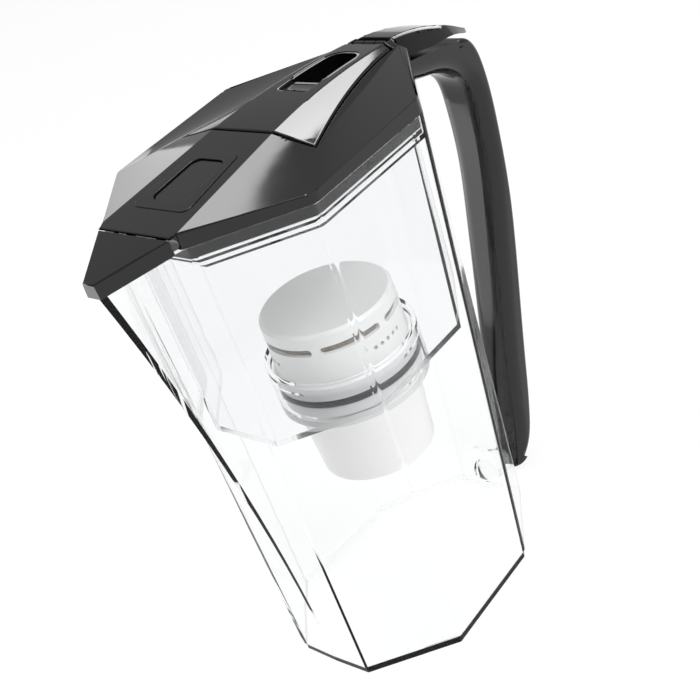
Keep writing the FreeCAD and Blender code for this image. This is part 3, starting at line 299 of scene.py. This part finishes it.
def eased(node, width, shortest, skip=None):
    """Copy of a CAD node with its outer edges rounded, which stands for the node.

    shortest is the length below which an edge stays sharp, and skip tells the points whose edges do.
    """
    source = frame["nodes"][node].data
    work = bmesh.new()
    work.from_mesh(source)
    cad = work.loops.layers.float_vector.new("cad_normal")
    for face in work.faces:
        for loop in face.loops:
            loop[cad] = source.corner_normals[loop.index].vector
    bmesh.ops.remove_doubles(work, verts=work.verts, dist=MERGE)
    bmesh.ops.dissolve_limit(work, angle_limit=FLAT_ANGLE, verts=work.verts, edges=work.edges)
    edges = [edge for edge in work.edges if is_outer_edge(edge, shortest)]
    if skip:
        edges = [edge for edge in edges if not any(skip(vert.co) for vert in edge.verts)]
    made = bmesh.ops.bevel(work, geom=edges, offset=width, segments=EDGE_SEGMENTS,
                           profile=EDGE_PROFILE, affect="EDGES", clamp_overlap=False)
    work.normal_update()
    normals = shading_normals(work, cad, set(made["faces"]))
    for face in work.faces:
        face.smooth = True
    mesh = bpy.data.meshes.new(node + "_eased")
    work.to_mesh(mesh)
    work.free()
    mesh.normals_split_custom_set(normals)
    piece = bpy.data.objects.new(node + "_eased", mesh)
    bpy.context.scene.collection.objects.link(piece)
    paint(piece, SLOT_OF[node])
    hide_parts(node)
    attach(piece, BODY_OF[node])
    return piece


for node, thing in frame["nodes"].items():
    paint(thing, SLOT_OF[node])
eased("lid_shell", EDGE_LID, EDGE_LENGTH, in_indicator)
hatch = eased("hatch_panel", EDGE_LID, EDGE_LENGTH)
tail = eased("lid_tail", EDGE_TAIL, EDGE_LENGTH)
eased("spout_flap", EDGE_FLAP, EDGE_LENGTH)
for node in ("indicator_bezel", "indicator_button"):
    eased(node, EDGE_SMALL, EDGE_SMALL)
for node in ("jug_body", "funnel"):
    # Clear plastic lets the lamps through
    frame["nodes"][node].visible_shadow = False


def is_ray(tree, *kinds):
    """1 for rays of the given kinds, 0 for the others."""
    path = add(tree, "ShaderNodeLightPath")
    found = path.outputs[kinds[0]]
    for kind in kinds[1:]:
        either = add(tree, "ShaderNodeMath", operation="MAXIMUM")
        tree.links.new(found, either.inputs[0])
        tree.links.new(path.outputs[kind], either.inputs[1])
        found = either.outputs["Value"]
    return found


def mix_shaders(tree, factor, first, second, output):
    """Mix of two shaders as a tree's surface."""
    pick = add(tree, "ShaderNodeMixShader")
    tree.links.new(factor, pick.inputs["Fac"])
    tree.links.new(first, pick.inputs[1])
    tree.links.new(second, pick.inputs[2])
    tree.links.new(pick.outputs["Shader"], tree.nodes[output].inputs["Surface"])


def surround():
    """World that lights the part evenly and shows as white."""
    scene = bpy.context.scene
    scene.view_settings.view_transform = "Standard"
    world = bpy.data.worlds.new("studio")
    scene.world = world
    world.use_nodes = True
    tree = world.node_tree
    light = tree.nodes["Background"]
    light.inputs["Color"].default_value = WHITE
    light.inputs["Strength"].default_value = WORLD_LIGHT
    shown = add(tree, "ShaderNodeBackground", Color=WHITE, Strength=1.0)
    seen = is_ray(tree, "Is Camera Ray", "Is Transmission Ray")
    mix_shaders(tree, seen, light.outputs["Background"], shown.outputs["Background"], "World Output")


def floor():
    """Pale floor just under the foot; it reads as white and keeps a faint shadow."""
    bpy.ops.mesh.primitive_plane_add(size=FLOOR_SIZE, location=(0.0, 0.0, -FLOOR_DROP))
    plane = bpy.context.object
    plane.name = "floor"
    material, tree, shader = new_material("floor_white")
    shader.inputs["Base Color"].default_value = FLOOR_COLOUR
    shader.inputs["Roughness"].default_value = FLOOR_ROUGHNESS
    white = add(tree, "ShaderNodeEmission", Strength=1.0)
    share = add(tree, "ShaderNodeMath", operation="MULTIPLY")
    share.inputs[1].default_value = FLOOR_WHITE
    seen = is_ray(tree, "Is Camera Ray", "Is Transmission Ray", "Is Glossy Ray")
    tree.links.new(seen, share.inputs[0])
    mix_shaders(tree, share.outputs["Value"], shader.outputs["BSDF"], white.outputs["Emission"],
                "Material Output")
    plane.data.materials.append(material)


def toward(azimuth, elevation):
    """Lamp place seen from the lid at an azimuth from +Y towards +X and an elevation, in degrees."""
    a, e = math.radians(azimuth), math.radians(elevation)
    way = Vector((math.sin(a) * math.cos(e), math.cos(a) * math.cos(e), math.sin(e)))
    return LID_CENTRE + STREAK_DISTANCE * way


def softbox(name, place, aim, size, radiance, only=None, turn=0.0):
    """Rectangular lamp of a given radiance, hidden from direct sight.

    only is the collection of the pieces that it lights, and turn rolls it about its own axis, in degrees.
    """
    data = bpy.data.lights.new(name, "AREA")
    data.shape = "RECTANGLE"
    data.size, data.size_y = size
    data.energy = radiance * math.pi * size[0] * size[1]
    thing = bpy.data.objects.new(name, data)
    thing.location = place
    facing = (aim - place).to_track_quat("-Z", "Y")
    roll = Quaternion((0.0, 0.0, 1.0), math.radians(turn))
    thing.rotation_euler = (facing @ roll).to_euler()
    thing.visible_camera = False
    thing.visible_transmission = False
    bpy.context.scene.collection.objects.link(thing)
    if only is not None:
        thing.light_linking.receiver_collection = only


def lit_alone(name, pieces):
    """Collection of the pieces that a streak lamp lights alone."""
    group = bpy.data.collections.new(name)
    for piece in pieces:
        group.objects.link(piece)
    return group


def is_gloss_black(thing):
    return thing.type == "MESH" and any(slot.name in GLOSS_SLOTS for slot in thing.data.materials)


def lamps():
    """A key lamp for everything, and lamps that draw the streaks on the glossy black pieces."""
    black = [thing for thing in bpy.context.scene.objects if is_gloss_black(thing)]
    gloss = lit_alone("gloss_black", black)
    hatch_only = lit_alone("hatch_only", [hatch])
    tail_only = lit_alone("tail_only", [tail])
    cup_only = lit_alone("cup_only", [frame["nodes"]["thumb_cup"]])
    softbox("key", KEY_PLACE, LID_CENTRE, size=(0.8, 0.6), radiance=8.5)
    softbox("front_streak", toward(39.5, 49.5), LID_CENTRE,
            size=(0.34, 0.3), radiance=5.8, only=gloss, turn=-20.0)
    softbox("wing_streak", toward(71.5, 44.2), LID_CENTRE,
            size=(0.84, 0.37), radiance=9.3, only=hatch_only, turn=12.0)
    softbox("overhead", toward(90.0, 82.0), LID_CENTRE, size=(1.3, 0.8), radiance=6.0, only=gloss)
    softbox("tail_streak", toward(79.0, 27.0), LID_CENTRE, size=(0.78, 1.1), radiance=5.0, only=tail_only)
    softbox("cup_streak", toward(43.5, 16.0), LID_CENTRE, size=(0.3, 0.42), radiance=1.6, only=cup_only)
    softbox("far_streak", toward(24.8, 7.0), LID_CENTRE, size=(0.3, 0.27), radiance=1.5, only=gloss)
    softbox("handle_card", CARD_PLACE, HANDLE_CENTRE, size=(0.6, 0.2), radiance=1.4, only=gloss)


def camera():
    """Camera at the photograph's view."""
    a, e, r = VIEW_AZIMUTH, VIEW_ELEVATION, VIEW_ROLL
    back = Vector((math.sin(a) * math.cos(e), -math.cos(a) * math.cos(e), math.sin(e)))
    right = Vector((0.0, 0.0, 1.0)).cross(back).normalized()
    up = back.cross(right)
    across = math.cos(r) * right + math.sin(r) * up
    upward = math.cos(r) * up - math.sin(r) * right
    shift_across, shift_up = VIEW_SHIFT
    place = VIEW_CENTRE + back * VIEW_DISTANCE + across * shift_across + upward * shift_up
    data = bpy.data.cameras.new("photo_view")
    data.sensor_width = SENSOR
    data.lens = LENS
    data.clip_start = NEAR_CLIP
    thing = bpy.data.objects.new("photo_view", data)
    turn = Matrix((across, upward, back)).transposed()
    thing.matrix_world = Matrix.Translation(place) @ turn.to_4x4()
    bpy.context.scene.collection.objects.link(thing)
    bpy.context.scene.camera = thing


surround()
floor()
lamps()
camera()
